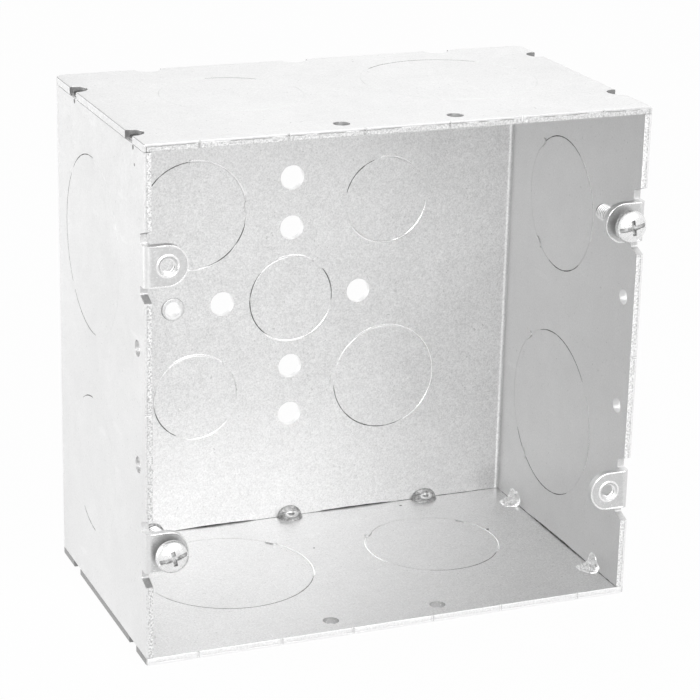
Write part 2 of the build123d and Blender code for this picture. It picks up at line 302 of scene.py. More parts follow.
# the place and the radius of each pit
WRAP_PITS = [(-HALF, -18.0, 61.0, 0.42), (-HALF, -65.0, 61.0, 0.42), (-HALF, -66.0, 57.2, 0.25)]
PLATE_PITS = [(-2.0, -24.5, -INSIDE, 0.22), (31.0, -5.0, -INSIDE, 0.3), (46.6, -28.0, -INSIDE, 0.3)]


def on_back(x, y, z):
    """1 on the back wall, which faces the camera squarely and shows its speckle best."""
    return y.step(-2.6, -2.2)


def ear_tone_and_hole_highlights(x, y, z):
    """1 on the front faces of the ears, which are darker, and nearly 1 on the notches beside them.
    Less than 0 on the walls of the holes in the back, which get a painted highlight."""
    ear = (RIM + 0.3 - y).step(0.0, 0.2) * (HALF - 0.6 - abs(x)).step(0.0, 1.6)
    in_sheet = (abs(x) - INSIDE).step(0.03, 0.1) * (HALF - abs(x)).step(0.03, 0.1)
    beside = (abs(abs(z) - EAR_UP) - EAR_HALF).step(0.05, 0.3) * (RIM + 4.0 - y).step(0.0, 0.2)
    sheared = (y + SHEET).step(0.03, 0.1) * (-y).step(0.03, 0.1) * (INSIDE - 2.0 - abs(x)).step(0.0, 0.2)
    ground = (GROUND_REACH - off_axis(x, z, GROUND_HOLE)).step(0.0, 0.1)
    # the front faces of the ears and the notches beside them are darker
    worn = (ear + in_sheet * beside * 1.35).clamp()
    # subtracting the hole walls brightens them: a painted highlight on the walls of the holes in the back
    return worn - sheared.sum("MAXIMUM", ground) * (y + 4.0).step(0.0, 0.1)


def on_bottom(x, y, z):
    """1 on the lower plate."""
    return (-z).step(0.0, 1.0)


def painted_shade_on_cuts(x, y, z):
    """Painted shade: more than 1 on the lower plate's side edges and on the walls of the notches in the
    plates, and a little more than 1 on the walls of their holes."""
    lower_edge = (-z).step(0.0, 1.0) * (abs(x) - HALF).step(-0.12, -0.02)
    in_sheet = (abs(z) - INSIDE).step(0.03, 0.1) * (HALF - abs(z)).step(0.03, 0.1)
    within = (HALF - abs(x)).step(0.02, 0.12) * (y - RIM).step(0.1, 0.2) * (-y).step(0.02, 0.12)
    notch = (abs(x) - HALF + 4.0).step(0.0, 0.5).sum("MAXIMUM", (y + 4.5).step(0.0, 0.5))
    return (lower_edge + in_sheet * within).clamp() * (1.2 + notch * 0.55)


wrap_zinc = zinc("zinc_on_the_wrap", 0.775, WRAP_PITS, 0.6, on_back, ear_tone_and_hole_highlights)
plate_zinc = zinc("zinc_on_the_plates", 0.79, PLATE_PITS, 1.0, on_bottom, painted_shade_on_cuts)
print("zinc:", wrap_zinc.name, plate_zinc.name)

# %% [markdown]
# ## Weld metal
# A tack weld freezes in ripples round its middle, rough and a little burnt. The ripples are rings on
# the distance from the weld's own middle, so each weld gets its own material, centred on it.

# %% Weld metal
def weld_metal(node):
    """Rings round the middle of the node's box, broken by noise, and a duller burnt border. The metal is
    bright inside the box and dark on the outside, where the weld lies down in its notch: painted shade."""
    low, high = corners_of(node)
    reach = float(max(high - low) / 2)
    board = Board("metal_of_" + node)
    place = board.place()
    far = board.distance(place, middle_of(node)) / reach
    rough_noise = board.noise(place, 1.3, detail=4.0, rough=0.6)
    ripple = ((far * 22.0 + rough_noise * 5.0).sum("SINE") + 1.0) * 0.5
    burnt = (far + (rough_noise - 0.5) * 0.5).step(0.55, 1.0)
    _, _, z = board.parts(place)
    outward = (abs(z) - INSIDE).step(-0.1, 0.1)
    bare = board.blend(burnt, tone(0.92), tone(0.60))
    # outside, where the weld lies down in the plate's notch, its dark colour is painted shade
    color = board.blend(outward, bare, board.blend(burnt, tone(0.22), tone(0.10)))
    rough = (0.45 + burnt * 0.25 + rough_noise * 0.1).clamp()
    normal = board.bump(ripple * 0.5 + rough_noise, 0.35, 0.8)
    return board.finish(base_color=color, metallic=0.85, roughness=rough, normal=normal)


welds = [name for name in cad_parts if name.startswith("weld_")]
print("welds:", len(welds))

# %% [markdown]
# ## Screw metal
# The cover screws are zinc plated and brighter than the sheet, with fine turning marks round the
# head: rings on the distance from the screw's axis.

# %% Screw metal
HEAD_RADIUS = 4.0
HEAD_HEIGHT = 2.6
DOME_HEIGHT = 1.7


def screw_metal(node):
    """Turning marks round the screw's axis, which runs along Y through the middle of the node's box. The
    dome is half an ellipse, and what lies well behind it is slot, cross or shank, painted darker as shade:
    mottled in the slot and cross, darkest just inside their edge and on the shank."""
    low, _ = corners_of(node)
    board = Board("metal_of_" + node)
    place = board.place()
    x, y, z = board.parts(place)
    away = off_axis(x, z, middle_of(node))
    level = (1.0 - (away / HEAD_RADIUS).sum("MINIMUM", 1.0) ** 2.0).sum("SQRT")
    dome = float(low[1] + DOME_HEIGHT) - level * DOME_HEIGHT
    behind = y - dome
    sunk = behind.step(0.10, 0.35)
    outline = sunk * (1.0 - behind.step(0.45, 0.9))
    shank = behind.step(2.6, 3.2)
    rim = away.step(3.45, 3.7)
    mottle = board.noise(place, 0.8, detail=3.0)
    patch = board.noise(place, 2.2, detail=2.0)
    rings = (away * 42.0 + mottle * 4.0).sum("SINE")
    worn = board.blend((mottle * 1.4 - 0.2).clamp(), tone(0.70), tone(1.0))
    plating = board.blend((mottle * 2.2 - 0.7).clamp(), tone(0.34), tone(1.0))
    # painted shade: the slot, the cross and the shank are darkened, most just inside the slot's edge
    painted_shade_color = board.blend((outline * (0.3 + 0.6 * patch) + shank).clamp(), plating, tone(0.10))
    # the head's side, round the rim, takes part of that painted shade
    color = board.blend((sunk * (1.0 - rim) + rim * sunk * 0.4).clamp(), worn, painted_shade_color)
    rough = (0.20 + mottle * 0.14 + sunk * 0.2).clamp()
    normal = board.bump(rings * 0.2 + mottle, 0.015, 0.6)
    return board.finish(base_color=color, metallic=0.9, roughness=rough, normal=normal)


screws = [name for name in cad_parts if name.startswith("cover_screw")]
print("screws:", screws)

# %% [markdown]
# ## Finishes on the solids
# Every solid now gets its own finish: the wrap and the plates their zinc, and each weld and screw
# the metal that is centred on it.

# %% Dress the nodes
def dress(node, material):
    """Puts one material on every slot of a node's mesh."""
    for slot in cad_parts[node].material_slots:
        slot.material = material


dress("wrap_body", wrap_zinc)
dress("top_plate", plate_zinc)
dress("bottom_plate", plate_zinc)
for name in welds:
    dress(name, weld_metal(name))
for name in screws:
    dress(name, screw_metal(name))
print("dressed", 3 + len(welds) + len(screws), "nodes")

# %% [markdown]
# ## Meshes from whole arrays
# Every added piece is a profile carried along a path: a table of points with one row for each place
# along the path and one column for each point of the profile. One function turns such a table into a
# closed mesh, and it puts the piece on the box's only body.

# %% From a table of points to a piece
SAME_PLACE = 1e-7
WAVES = 7


def strip_faces(rows, columns, closed_path, closed_profile):
    """Four-sided faces between neighbouring points of a table with the given rows and columns."""
    row = np.arange(rows if closed_path else rows - 1)
    column = np.arange(columns if closed_profile else columns - 1)
    row, column = np.meshgrid(row, column, indexing="ij")
    next_row = (row + 1) % rows
    next_column = (column + 1) % columns
    corners = (row * columns + column, row * columns + next_column)
    corners += (next_row * columns + next_column, next_row * columns + column)
    return np.stack(corners, -1).reshape(-1, 4)


def capped_bar(points, closed_path=False):
    """Points and faces of a closed bar. points is a table (row, column, 3) in mm, with a closed profile
    in each row. A bar whose path is open gets a cap at each end."""
    rows, columns, _ = points.shape
    faces = strip_faces(rows, columns, closed_path, True).tolist()
    if not closed_path:
        faces.append(list(range(columns))[::-1])
        faces.append(list(range((rows - 1) * columns, rows * columns)))
    return points.reshape(-1, 3), faces


def make_piece(name, bars, material):
    """One object from several closed bars, turned right side out, riding on the box."""
    places, faces, start = [], [], 0
    for points, bar_faces in bars:
        places.append(points)
        faces += [[start + corner for corner in face] for face in bar_faces]
        start += len(points)
    mesh = bpy.data.meshes.new(name)
    mesh.from_pydata((np.vstack(places) * MM).tolist(), [], faces)
    work = bmesh.new()
    work.from_mesh(mesh)
    bmesh.ops.remove_doubles(work, verts=work.verts, dist=SAME_PLACE)
    bmesh.ops.recalc_face_normals(work, faces=work.faces)
    work.to_mesh(mesh)
    work.free()
    mesh.materials.append(material)
    made = bpy.data.objects.new(name, mesh)
    bpy.context.collection.objects.link(made)
    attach(made, "root")
    print(name, "faces:", len(mesh.polygons))


def wander(along, seed, finest=1.0):
    """A smooth random line: a sum of sine waves of random pitch and phase, mostly between -1 and 1."""
    random = np.random.default_rng(seed)
    pitch = random.uniform(0.2, 1.0, WAVES) * finest
    phase = random.uniform(0.0, 2.0 * np.pi, WAVES)
    return np.sin(along[..., None] * pitch + phase).sum(-1) / np.sqrt(2.0 * WAVES)


print("pieces come from tables of points")

# %% [markdown]
# ## Shear lines of the knockouts
# A knockout is sheared nearly free and pressed back, so its outline is a line and not an open gap.
# The solids have an open slit there, and a flush ring fills it on both faces of the sheet. The disc
# never goes back quite level: on some arcs the line gapes a little and is dark, and on others a
# bright lip stands beside it. The dark arcs are painted shade, and the lips get a painted highlight.
# Each row of the table gives the face, the middle and the radius, the ties, the gaping arcs and the
# arcs with a lip. Ties and arcs are in degrees.

# %% Knockouts
# the origin of each inner face, its directions across and up, and the way into the box
FACES = {
    "back": ((0, -SHEET, 0), (1, 0, 0), (0, 0, 1), (0, -1, 0)),
    "left": ((-INSIDE, 0, 0), (0, 1, 0), (0, 0, 1), (1, 0, 0)),
    "right": ((INSIDE, 0, 0), (0, -1, 0), (0, 0, 1), (-1, 0, 0)),
    "bottom": ((0, 0, -INSIDE), (1, 0, 0), (0, 1, 0), (0, 0, 1)),
    "top": ((0, 0, INSIDE), (1, 0, 0), (0, -1, 0), (0, 0, -1)),
}
# the knockouts' radii by trade size
HALF_INCH, THREE_QUARTER, ONE_INCH, INCH_AND_QUARTER = 22.9 / 2, 28.6 / 2, 34.9 / 2, 44.0 / 2
# where the middle knockout of the back lies, and how far the others are from it or from the axes
RIGHT, UP = -0.9, 0.15
BACK_UP, SIDE_APART, DEPTH_WAY = 24.7, 28.6, 31.8
KNOCKOUTS = [
    ("back", RIGHT - 26.9, UP + BACK_UP, THREE_QUARTER, (4,),
     [(96, 178), (-76, -12)], [(16, 94), (-100, -78)]),
    ("back", RIGHT + 26.4, UP + BACK_UP, HALF_INCH, (174,), [(106, 168)], [(-148, -6), (52, 100)]),
    ("back", RIGHT, UP, HALF_INCH, (50,), [(136, 236), (-8, 40)], [(-130, -20), (60, 110)]),
    ("back", RIGHT - 26.4, UP - BACK_UP, HALF_INCH, (40,), [(186, 244)], [(50, 130), (-100, -60)]),
    ("back", RIGHT + 26.9, UP - BACK_UP, THREE_QUARTER, (177,), [(184, 296)], [(-58, 130)]),
    ("left", -DEPTH_WAY, SIDE_APART, INCH_AND_QUARTER, (-42, 42), [(-96, 94)], []),
    ("left", -DEPTH_WAY, -SIDE_APART + 0.8, ONE_INCH, (-42, 42), [(56, 88), (-90, -56)], []),
    ("right", DEPTH_WAY, SIDE_APART, ONE_INCH, (-131, 131), [(58, 127), (-108, -50)], [(-20, 52)]),
    ("right", DEPTH_WAY, -SIDE_APART, INCH_AND_QUARTER, (-131, 131), [(40, 112), (-150, -58)], [(-26, 30)]),
    ("bottom", -SIDE_APART, -DEPTH_WAY, INCH_AND_QUARTER, (40, 140), [(-154, -24)], [(-24, 34)]),
    ("bottom", SIDE_APART, -DEPTH_WAY, ONE_INCH, (40, 140), [(-116, -38)], [(-36, 30), (150, 205)]),
    ("top", -SIDE_APART, DEPTH_WAY, ONE_INCH, (-140, -40), [(-92, -50)], []),
    ("top", SIDE_APART, DEPTH_WAY, INCH_AND_QUARTER, (-140, -40), [(-132, -48)], []),
]
SLIT = 0.3
TIE_WIDTH = 2.2
RING_STEP = 0.6
FILL_SUNK = 0.012
FILL_DEEP = 0.6
FILL_DIP = 0.03
OUTSIDE_DIP = {"left": 0.008, "top": 0.024}
LINE_HALF = 0.165
LINE_SUNK = 0.006
LINE_DEEP = 0.4
LIP_HEIGHT = 0.09
LIP_OUT = 0.26
TIE_ROUND = 1.6
TIE_INSIDE = 0.6
TIE_SPREAD = 72.0
print("knockouts:", len(KNOCKOUTS))

# %% [markdown]
# The filling, the dark arc, the lip and the tie's mark are all bars along an arc. They differ only in
# their profile: how far from the knockout's middle each point lies, and how high over the sheet.

# %% Bars along a knockout's outline
def ring_bar(face, across, up, angle, profile, outside):
    """A bar along an arc. The profile is a list of (radius, level) pairs, and each may vary along the arc.
    Level 0 is the sheet's face and grows away from the sheet."""
    origin, right, high, inward = (np.array(v, float) for v in FACES[face])
    still = np.ones_like(angle)
    points = []
    for reach, level in profile:
        height = -SHEET - level * still if outside else level * still
        spot = origin + (across + reach * np.cos(angle))[:, None] * right
        points.append(spot + (up + reach * np.sin(angle))[:, None] * high + height[:, None] * inward)
    return capped_bar(np.stack(points, 1))


def arc_angles(start, end, radius):
    """Angles in radians between two in degrees, about RING_STEP apart along the arc."""
    steps = max(int(math.radians(end - start) * radius / RING_STEP), 12)
    return np.radians(np.linspace(start, end, steps))


def filled_slit(face, across, up, radius, start, end, outside, seed):
    """The flush ring between two ties: a shallow V, faint where it is shallow."""
    angle = arc_angles(start, end, radius)
    wall = SLIT / 2 + 0.01
    deep = OUTSIDE_DIP.get(face, FILL_DIP) if outside else FILL_DIP
    dip = -FILL_SUNK - deep - deep * np.clip(1.0 + wander(angle * radius, seed, finest=0.6), 0.0, 2.0)
    profile = [(radius - wall, -FILL_SUNK), (radius, dip), (radius + wall, -FILL_SUNK)]
    profile += [(radius + wall, -FILL_DEEP), (radius - wall, -FILL_DEEP)]
    return ring_bar(face, across, up, angle, profile, outside)


def open_line(face, across, up, radius, start, end, outside, seed):
    """A dark arc whose width swells from nothing at both ends and wavers between them."""
    angle = arc_angles(start, end, radius)
    place = np.linspace(0.0, np.pi, len(angle))
    uneven = np.clip(0.8 + 0.35 * wander(angle * radius, seed, finest=2.2), 0.2, 1.05)
    half = LINE_HALF * np.sin(place) ** 0.45 * uneven + 0.002
    profile = [(radius - half, -LINE_SUNK), (radius + half, -LINE_SUNK)]
    profile += [(radius + half, -LINE_DEEP), (radius - half, -LINE_DEEP)]
    return ring_bar(face, across, up, angle, profile, outside)


def raised_lip(face, across, up, radius, start, end, seed):
    """A bright arc beside the line: a low ridge that rises from the sheet and goes down again."""
    angle = arc_angles(start, end, radius)
    place = np.linspace(0.0, np.pi, len(angle))
    uneven = np.clip(0.8 + 0.35 * wander(angle * radius, seed, finest=2.0), 0.2, 1.2)
    high = LIP_HEIGHT * np.sin(place) ** 0.6 * uneven
    middle = radius + LIP_OUT
    profile = [(middle - 0.24, -0.02), (middle - 0.13, high * 0.8 - 0.01), (middle, high - 0.01)]
    profile += [(middle + 0.13, high * 0.6 - 0.01), (middle + 0.26, -0.02), (middle, -0.12)]
    return ring_bar(face, across, up, angle, profile, False)


def tie_mark(face, across, up, radius, tie, seed):
    """The tie's own outline, which bulges outward from the ring: a low ridge on an arc of TIE_ROUND whose
    middle lies a little inside the ring. It is highest near its two ends."""
    turn = math.radians(tie)
    reach = radius - TIE_INSIDE
    angle = turn + np.radians(np.linspace(-TIE_SPREAD, TIE_SPREAD, 30))
    place = np.linspace(-1.0, 1.0, len(angle))
    high = (0.07 + 0.20 * np.abs(place) ** 1.5) * np.sqrt(1.0 - np.abs(place) ** 6)
    high = high * np.clip(1.0 + 0.4 * wander(place * 6.0, seed), 0.3, 1.5) - 0.012
    profile = [(TIE_ROUND - 0.26, -0.02), (TIE_ROUND - 0.09, high), (TIE_ROUND + 0.09, high)]
    profile += [(TIE_ROUND + 0.26, -0.02), (TIE_ROUND, -0.12)]
    middle = (across + reach * math.cos(turn), up + reach * math.sin(turn))
    return ring_bar(face, *middle, angle, profile, False)


print("bars follow an arc")

# %% [markdown]
# Now the table becomes pieces. Every slit is filled from tie to tie on both faces of its sheet, a
# gaping arc is cut where it crosses a tie, and the ties on the back wall get their marks.

# %% Pieces along the slits
def shear_lines():
    """The fillings of all slits as one piece for each face, then all dark arcs and all bright lips."""
    fillings, dark, bright = {}, [], []
    for number, (face, across, up, radius, ties, gaping, lips) in enumerate(KNOCKOUTS):
        seed = SEED + 10 * number
        spot = (face, across, up, radius)
        gap = math.degrees(TIE_WIDTH / 2 / radius)
        for index, tie in enumerate(ties):
            after = ties[(index + 1) % len(ties)]
            after += 360 if after <= tie else 0
            for outside in (False, True):
                ring = filled_slit(*spot, tie + gap, after - gap, outside, seed + 2 * index + outside)
                fillings.setdefault(face, []).append(ring)
            if face == "back":
                bright.append(tie_mark(*spot, tie, seed + 20 + index))
        for start, end in gaping:
            inner = [tie for tie in ties if start < tie < end]
            cuts = [start] + [edge for tie in inner for edge in (tie - gap, tie + gap)] + [end]
            for low, high in zip(cuts[::2], cuts[1::2]):
                dark += [open_line(*spot, low, high, outside, seed + 5) for outside in (False, True)]
        bright += [raised_lip(*spot, start, end, seed + 7 + n) for n, (start, end) in enumerate(lips)]
    for face, rings in fillings.items():
        metal = plate_zinc if face in ("top", "bottom") else wrap_zinc
        make_piece("shear_lines_" + face, rings, metal)
    # the dark arcs are coloured with painted shade
    make_piece("open_shear_lines", dark, groove_shade_metal)
    # the lips and the tie marks are coloured with a painted highlight
    make_piece("raised_lips", bright, painted_highlight_metal)


def plain_metal(name, dark, light, roughness, size_mm, metallic=0.8):
    """Metal whose colour wanders between two tones in patches about size_mm across."""
    board = Board(name)
    place = board.place()
    patch = board.noise(place, size_mm, detail=3.0, rough=0.6)
    color = board.blend((patch * 1.8 - 0.4).clamp(), tone(dark), tone(light))
    rough = (roughness + (patch - 0.5) * 0.2).clamp()
    normal = board.bump(patch, 0.03, 0.6)
    return board.finish(base_color=color, metallic=metallic, roughness=rough, normal=normal)


# painted shade: the dark arcs in the gaping slits are nearly black
groove_shade_metal = plain_metal("painted_shade_in_the_groove", 0.03, 0.22, 0.6, 1.6, metallic=0.2)
# painted highlight: lips, tie marks and burrs are brighter than the sheet
painted_highlight_metal = plain_metal("painted_highlight_metal", 0.86, 1.0, 0.22, 1.2)
shear_lines()

# %% [markdown]
# ## Painted shade in the open seams
# Where a wall bows away from a plate, the seam gapes by up to half a millimetre and looks black.
# Between the two sheets lies a dark strip of painted shade, a little behind the faces. The first
# constants say where along each seam the wall bows and from where to where the painted line in the corners
# runs.

# %% Painted shade in the seams
BACK_BOWS = ((-32.0, -10.0), (7.6, 29.7))
SIDE_BOW = (-56.2, -22.1)
BACK_SHADE_RUN = (-58.0, 58.0)
SIDE_SHADE_RUN = (RIM + 1.5, -5.0)
SEAM_LOW = 61.2
SET_BACK = 0.22
LEAST_GAP, MORE_GAP = 0.06, 0.37
SHADE_LINE_WIDTH = 0.13


def seam_strip(start, end, fixed, way, along_x):
    """A strip in a seam, four-sided in section. Its faces bulge and dip by a random line along it."""
    along = np.linspace(start + 0.3, end - 0.3, 80)
    waver = 0.08 * wander(along, SEED + int(abs(start)), finest=1.4)
    near, far = fixed[0] + SET_BACK + waver, fixed[1] - SET_BACK - waver
    rows = []
    for depth, level in ((near, SEAM_LOW), (near, INSIDE), (far, INSIDE), (far, SEAM_LOW)):
        height = np.full_like(along, way * level)
        spot = (along, depth, height) if along_x else (depth, along, height)
        rows.append(np.stack(spot, -1))
    return capped_bar(np.stack(rows, 1))


def bowed_lip(start, end, fixed, way, along_x):
    """The bowed wall's own edge, which leaves the plate slowly. The seam is widest half way along, and its
    width there is a power of a half sine wave from end to end."""
    along = np.linspace(start, end, 90)
    arch = np.sin(np.linspace(0.0, np.pi, len(along))) ** 0.5
    waver = 0.9 + 0.12 * wander(along, SEED + 60 + int(abs(start)), finest=1.4)
    open_by = LEAST_GAP + MORE_GAP * arch * waver
    rows = []
    near, far = fixed
    for depth, level in ((near, SEAM_LOW), (near, INSIDE), (far, INSIDE), (far, SEAM_LOW)):
        height = way * (INSIDE - open_by if level == INSIDE else np.full_like(along, level))
        place = np.full_like(along, depth)
        rows.append(np.stack((along, place, height) if along_x else (place, along, height), -1))
    return capped_bar(np.stack(rows, 1))


def corner_shade(start, end, corner, way, inward, along_x):
    """A thin line of painted shade in the corner between a wall and a plate, three-sided, of wandering
    width.
    """
    along = np.linspace(start, end, 160)
    wide = np.clip(SHADE_LINE_WIDTH + 0.05 * wander(along, SEED + 80 + way, finest=2.0), 0.03, 0.2)
    behind = np.full_like(along, -0.02)
    rows = []
    for out, down in ((behind, behind), (wide, behind), (behind, wide)):
        depth = corner + inward * out
        height = way * (INSIDE - down)
        rows.append(np.stack((along, depth, height) if along_x else (depth, along, height), -1))
    return capped_bar(np.stack(rows, 1))


def seam_pieces():
    """Strips of painted shade and lips in the bowed seams, two along each end of the back and one at each
    end of the right wall, and a thin line of painted shade along every seam."""
    strips, lips, lines = [], [], []
    for way in (-1, 1):
        bowed = [(*SIDE_BOW, (INSIDE, HALF), way, False)]
        bowed += [(*bow, (-SHEET, 0.0), way, True) for bow in BACK_BOWS]
        strips += [seam_strip(*row) for row in bowed]
        lips += [bowed_lip(*row) for row in bowed]
        lines.append(corner_shade(*BACK_SHADE_RUN, -SHEET, way, -1.0, True))
        lines += [corner_shade(*SIDE_SHADE_RUN, side * INSIDE, way, -side, False) for side in (-1, 1)]
    # the strips in the gaping seams are painted shade
    make_piece("seam_shade", strips, seam_shade_metal)
    make_piece("bowed_lips", lips, wrap_zinc)
    make_piece("corner_shade", lines, corner_shade_metal)


# painted shade: the strips in the seams are nearly black
seam_shade_metal = plain_metal("painted_shade_in_the_seam", 0.008, 0.03, 0.8, 2.0, metallic=0.0)
# painted shade: the lines in the corners are dark
corner_shade_metal = plain_metal("painted_shade_in_the_corner", 0.02, 0.30, 0.7, 3.0, metallic=0.0)
seam_pieces()

# %% [markdown]
# ## Cut edges
# The rim shows the sheet's cut edge. Shears first press a smooth band into the metal and then tear
# the rest, so a cut edge has a smooth bright band and a rough one, with a wavy border between them.
# A thin plate lies on each edge: along it the border wanders, and across it the height is level on
# the smooth band and ragged on the torn one. At the nicks it dips with the solid below it.

# %% Cut edges
EDGE_STEP = 0.22
EDGE_COLUMNS = 12
EDGE_LIFT = 0.012
SMOOTH_HEIGHT = 0.035
TORN_HEIGHT = 0.09
NICK_HALF = 0.4
NICK_DEEP = 0.4


def cut_edge(start, end, middle, nicks, upright, smooth_side, seed):
    """A thin plate on the rim between two places along it. v runs across the sheet from -1 to 1. Height
    over the rim is a smooth step at the border, plus a ragged sum of random waves where it is torn."""
    steps = max(int((end - start) / EDGE_STEP), 4)
    along = np.linspace(start, end, steps)
    v = np.linspace(-1.0, 1.0, EDGE_COLUMNS)
    u, v = np.meshgrid(along, v, indexing="ij")
    border = 0.10 + 0.28 * wander(along, seed, finest=2.6)[:, None]
    torn = 1.0 / (1.0 + np.exp(-(v * smooth_side - border) * 14.0))
    rag = wander(u + v * 3.1, seed + 1, finest=9.0) * wander(u * 0.6 - v * 5.0, seed + 2, finest=7.0)
    ragged = TORN_HEIGHT * np.clip(0.45 + 0.6 * rag, 0.0, 1.2)
    height = EDGE_LIFT + SMOOTH_HEIGHT * (1.0 - torn) + torn * ragged
    soft = np.clip((1.0 - np.abs(v)) / 0.22, 0.0, 1.0)
    height = EDGE_LIFT * 0.4 + (height - EDGE_LIFT * 0.4) * np.sqrt(soft * (2.0 - soft))
    dip = np.zeros_like(u)
    for nick in nicks:
        dip = np.maximum(dip, NICK_DEEP * np.clip(1.0 - np.abs(u - nick) / NICK_HALF, 0.0, 1.0))
    front = RIM + dip - height
    back = RIM + dip + 0.08
    across = middle + v * (SHEET / 2 - 0.02)
    tables = []
    for depth in (front, back):
        tables.append(np.stack((across, depth, u) if upright else (u, depth, across), -1))
    return capped_bar(np.concatenate([tables[0], tables[1][:, ::-1]], 1))


def cut_metal(name, level, border_line, grit_strength):
    """The torn band is speckled and the pressed one bright, with a thin dark broken line between them. How
    far out a point lies is the greater of its distances from the middle in X and in Z."""
    board = Board(name)
    place = board.place()
    x, _, z = board.parts(place)
    out = abs(x).sum("MAXIMUM", abs(z)) - INSIDE
    wave = board.noise(place, 3.0, detail=3.0)
    grit = board.noise(place, 0.5, detail=2.0, rough=0.7)
    patch = board.noise(place, 4.0, detail=1.0)
    border = 1.22 + (wave - 0.5) * 0.5
    torn = (border - out).step(-0.05, 0.05)
    line = 1.0 - abs(border - out).step(0.03, 0.12)
    broken = patch.step(0.40, 0.50)
    light = 0.62 + (grit - 0.5) * (0.8 + torn * 1.6) * grit_strength + (1.0 - torn) * 0.25
    clean = board.blend(light.clamp(), tone(level * 0.70), tone(min(level * 1.25, 1.0)))
    color = board.blend(line * broken * border_line, clean, tone(level * 0.35))
    rough = (0.34 + torn * 0.14).clamp()
    normal = board.bump(grit * torn - line * broken, 0.06, 0.8)
    return board.finish(base_color=color, metallic=0.75, roughness=rough, normal=normal)


print("a cut edge has two bands")

# %% [markdown]
# Each wall has three runs of cut edge, between its ends and the notches beside the ears, and each
# plate has one. The photograph shows four different edges, so each side gets a metal of its own.

# %% Edges of the walls and the plates
# level of the metal, strength of the border line, strength of the grit
EDGE_LOOK = {
    "left": (0.72, 0.15, 2.2),
    "right": (0.82, 0.35, 1.5),
    "bottom": (1.0, 0.3, 0.7),
    "top": (0.66, 1.0, 1.2),
}
NOTCH_WIDTH = 3.45
NOTCHED = EAR_HALF + NOTCH_WIDTH + 0.05
WALL_NICKS = [0.0]
PLATE_NICKS = [side * place for side in (-1, 1) for place in (10.6, 29.2, 50.5)]
PLATE_RUN = HALF - 0.4
EDGE_MIDDLE = HALF - SHEET / 2

edge_metal = {word: cut_metal("cut_edge_metal_" + word, *look) for word, look in EDGE_LOOK.items()}
wall_top = wrap_high[2]
below_ear, above_ear = EAR_UP - NOTCHED, EAR_UP + NOTCHED
wall_runs = [(-wall_top, -above_ear), (-below_ear, below_ear), (above_ear, wall_top)]
for side, word in ((-1, "left"), (1, "right")):
    bars = []
    for number, (start, end) in enumerate(wall_runs):
        seed = SEED + 100 + number * 7 + side
        bars.append(cut_edge(start, end, side * EDGE_MIDDLE, WALL_NICKS, True, -side, seed))
    make_piece("cut_edge_" + word, bars, edge_metal[word])
for side, word in ((-1, "bottom"), (1, "top")):
    seed = SEED + 200 + side
    bar = cut_edge(-PLATE_RUN, PLATE_RUN, side * EDGE_MIDDLE, PLATE_NICKS, False, -side, seed)
    make_piece("cut_edge_" + word, [bar], edge_metal[word])

# %% [markdown]
# ## Screw threads
# An 8-32 thread has 32 turns to the inch. It is one ridge carried along a helix: a small trapezium
# whose foot is sunk in the shank and whose crest stands a third of a millimetre over it.

# %% Threads
PITCH = 25.4 / 32
SHANK = 1.75
CREST = 2.07
THREAD_GAP = 0.15
THREAD_SHORT = 0.35
TURN_STEPS = 40


def thread(name):
    """A ridge round the screw's axis. Along the helix the angle grows evenly and the place along the
    axis grows by one pitch a turn. The ridge rises from nothing at both ends, over three quarters of a
    turn. It begins THREAD_GAP behind the head and ends THREAD_SHORT before the tip."""
    low, high = corners_of(name)
    axis = middle_of(name)
    end = high[1] - THREAD_SHORT
    start = low[1] + HEAD_HEIGHT + THREAD_GAP
    turns = (end - start) / PITCH
    angle = np.linspace(0.0, 2 * np.pi * turns, int(turns * TURN_STEPS))
    place = start + angle / (2 * np.pi) * PITCH
    fade = np.clip(np.minimum(angle, angle[-1] - angle) / (1.5 * np.pi), 0.0, 1.0)
    crest = SHANK - 0.06 + (CREST - SHANK + 0.06) * fade
    foot = np.full_like(angle, SHANK - 0.12)
    profile = [(foot, -0.46), (crest, -0.10), (crest, 0.10), (foot, 0.46)]
    rows = []
    for radius, shift in profile:
        spot = (axis[0] + radius * np.cos(angle), place + shift * PITCH, axis[2] + radius * np.sin(angle))
        rows.append(np.stack(spot, -1))
    bar = capped_bar(np.stack(rows, 1))
    make_piece("thread_of_" + name, [bar], thread_metal(name))


def thread_metal(name):
    """Rolled zinc-plated thread. It is bright on the crest and dark at the root, where the dark is painted
    shade.
    """
    board = Board("thread_metal_of_" + name)
    place = board.place()
    x, _, z = board.parts(place)
    crest = off_axis(x, z, middle_of(name)).step(SHANK + 0.05, CREST - 0.05)
    mottle = board.noise(place, 0.6, detail=3.0)
    # painted shade: dark at the thread's root, bright on its crest
    color = board.blend((crest * 0.9 + (mottle - 0.5) * 0.9).clamp(), tone(0.14), tone(0.95))
    rough = (0.22 + mottle * 0.2).clamp()
    normal = board.bump(mottle, 0.02, 0.5)
    return board.finish(base_color=color, metallic=0.9, roughness=rough, normal=normal)


for name in screws:
    thread(name)

# %% [markdown]
# ## Weld splashes
# Inside the box a tack weld spreads out of the corner onto both sheets. It is a patch folded into the
# corner, and its height over the sheets is a function of the place in it. At the back the metal froze
# as a crater with a raised rim; in the side seams it splashed and tore.

# %% A patch folded into a corner
FILLET = 1.6
PATCH_RINGS = 30
PATCH_SPOKES = 90
PATCH_SUNK = 0.2
CRATER = {"half_length": 3.5, "up_wall": 2.7, "on_plate": 3.5, "ragged": 0.05, "finest": 1.0, "edge": 0.16}
SPLASH = {"half_length": 3.4, "up_wall": 3.9, "on_plate": 3.6, "ragged": 0.16, "finest": 2.6, "edge": 0.3}


